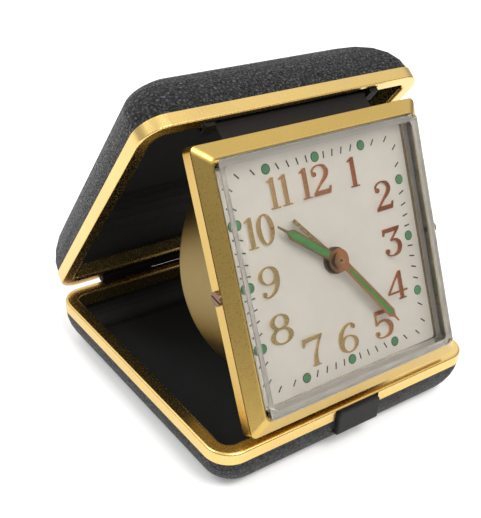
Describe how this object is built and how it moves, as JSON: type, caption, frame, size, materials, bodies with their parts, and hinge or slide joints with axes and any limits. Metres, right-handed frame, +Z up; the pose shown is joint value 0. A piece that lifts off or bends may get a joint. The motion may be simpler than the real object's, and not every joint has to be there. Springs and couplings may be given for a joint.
{
  "type": "folding travel alarm clock",
  "caption": "Folding travel alarm clock: a square clock with a raised clear front, hinged to a deep lid and a shallow tray covered in black leatherette with gold rims.",
  "frame": {"origin": "centre of the underside of the base tray, on the surface it stands on", "axes": "+X to the right of the dial as it is read, +Y towards the rear hinge, +Z up; the dial faces -Y and leans back"},
  "size_m": [0.08, 0.0904, 0.082],
  "materials": {
    "leatherette": "black pebbled leatherette",
    "satin_gold": "satin gold-plated brass with polished edges",
    "black_lacquer": "black lacquered steel",
    "flock": "black flocked paper",
    "black_plastic": "black moulded plastic",
    "steel": "ground steel",
    "acrylic": "clear polished acrylic",
    "ivory_dial": "satin ivory paint",
    "luminous": "green luminous paint",
    "gilt_figures": "polished gilt",
    "gilt_hands": "copper-toned gilt",
    "movement_brass": "lacquered brass"
  },
  "bodies": {
    "base": {"base_cover": "leatherette", "base_pan": "black_lacquer", "base_rim": "satin_gold", "base_floor_pad": "flock", "base_hinge_leaf": "satin_gold", "hinge_pin": "steel", "button_spring": "steel"},
    "button": {"release_button": "black_plastic"},
    "lid": {"lid_cover": "leatherette", "lid_pan": "black_lacquer", "lid_rim": "satin_gold", "lid_floor_pad": "flock", "lid_hinge_leaf": "satin_gold", "lid_catch": "black_lacquer", "pivot_bracket_left": "black_lacquer", "pivot_bracket_right": "black_lacquer", "clock_hinge_rod": "steel"},
    "clock": {"clock_hinge_leaf": "black_lacquer", "clock_hinge_barrel": "satin_gold", "bezel_frame": "satin_gold", "crystal": "acrylic", "dial_plate": "ivory_dial", "luminous_dots": "luminous", "hour_figures": "gilt_figures", "centre_collar": "movement_brass", "movement_front_plate": "movement_brass", "movement_back_plate": "movement_brass", "plate_pillars": "movement_brass", "pillar_nuts": "steel", "drum_housing": "satin_gold", "back_cover": "satin_gold", "regulator_post": "steel", "hammer_pivot": "steel", "hairspring_and_stud": "steel", "side_screws": "steel"},
    "minute": {"minute_hand": "gilt_hands", "minute_hand_lume": "luminous", "centre_arbor": "steel", "centre_wheel": "movement_brass", "hand_set_knob": "movement_brass"},
    "hour": {"hour_hand": "gilt_hands", "hour_hand_lume": "luminous", "hour_wheel": "movement_brass"},
    "alarm_pointer": {"alarm_hand": "gilt_hands", "alarm_wheel": "movement_brass"},
    "time_key": {"time_spring_barrel": "movement_brass", "time_winding_key": "movement_brass"},
    "alarm_key": {"alarm_spring_barrel": "movement_brass", "alarm_winding_key": "movement_brass"},
    "alarm_setter": {"alarm_set_arbor": "movement_brass", "alarm_set_knob": "movement_brass"},
    "third": {"third_wheel": "movement_brass"},
    "escape": {"escape_wheel": "movement_brass"},
    "balance": {"balance_wheel": "movement_brass"},
    "hammer": {"alarm_hammer": "steel"},
    "regulator": {"regulator_lever": "steel"},
    "stop_plunger": {"alarm_stop_button": "movement_brass"}
  },
  "joints": [
    {"name": "lid_hinge", "type": "hinge", "parent": "base", "child": "lid", "pos_m": [0, 0.04087, 0.0133], "axis": [-1, 0, 0], "range_deg": [0, 60]},
    {"name": "clock_fold", "type": "hinge", "parent": "lid", "child": "clock", "pos_m": [0, -0.0056, 0.07421], "axis": [1, 0, 0], "range_deg": [0, 62]},
    {"name": "button_press", "type": "slide", "parent": "base", "child": "button", "axis": [0, 1, 0], "range_m": [0, 0.0004], "stiffness_N_per_m": 600},
    {"name": "hand_setting", "type": "hinge", "parent": "clock", "child": "minute", "pos_m": [0, -0.02516, 0.04431], "axis": [0, 0.9024, -0.431], "continuous": true},
    {"name": "hour_motion", "type": "hinge", "parent": "clock", "child": "hour", "pos_m": [0, -0.02516, 0.04431], "axis": [0, 0.9024, -0.431], "continuous": true},
    {"name": "alarm_pointing", "type": "hinge", "parent": "clock", "child": "alarm_pointer", "pos_m": [0, -0.02516, 0.04431], "axis": [0, 0.9024, -0.431], "continuous": true},
    {"name": "alarm_setting", "type": "hinge", "parent": "clock", "child": "alarm_setter", "pos_m": [0, -0.03292, 0.02807], "axis": [0, 0.9024, -0.431], "continuous": true},
    {"name": "time_winding", "type": "hinge", "parent": "clock", "child": "time_key", "pos_m": [0.013, -0.02818, 0.03799], "axis": [0, 0.9024, -0.431], "continuous": true},
    {"name": "alarm_winding", "type": "hinge", "parent": "clock", "child": "alarm_key", "pos_m": [-0.013, -0.02818, 0.03799], "axis": [0, 0.9024, -0.431], "continuous": true},
    {"name": "third_wheel_turn", "type": "hinge", "parent": "clock", "child": "third", "pos_m": [0, -0.01977, 0.05559], "axis": [0, 0.9024, -0.431], "continuous": true},
    {"name": "escape_wheel_turn", "type": "hinge", "parent": "clock", "child": "escape", "pos_m": [0.009, -0.01826, 0.05875], "axis": [0, 0.9024, -0.431], "continuous": true},
    {"name": "balance_swing", "type": "hinge", "parent": "clock", "child": "balance", "pos_m": [-0.013, -0.01913, 0.05694], "axis": [0, 0.9024, -0.431], "range_deg": [-150, 150]},
    {"name": "hammer_swing", "type": "hinge", "parent": "clock", "child": "hammer", "pos_m": [0.0175, -0.02214, 0.05063], "axis": [0, 0.9024, -0.431], "range_deg": [0, 6]},
    {"name": "regulator_shift", "type": "hinge", "parent": "clock", "child": "regulator", "pos_m": [0, -0.02145, 0.05207], "axis": [0, 0.9024, -0.431], "range_deg": [-35, 35]},
    {"name": "alarm_stop_press", "type": "slide", "parent": "clock", "child": "stop_plunger", "axis": [0, -0.9024, 0.431], "range_m": [0, 0.001]}
  ],
  "couplings": [
    {"joint": "hour_motion", "follows": "hand_setting", "ratio": 0.083333},
    {"joint": "alarm_setting", "follows": "alarm_pointing", "ratio": -2.5},
    {"joint": "third_wheel_turn", "follows": "hand_setting", "ratio": -8}
  ]
}
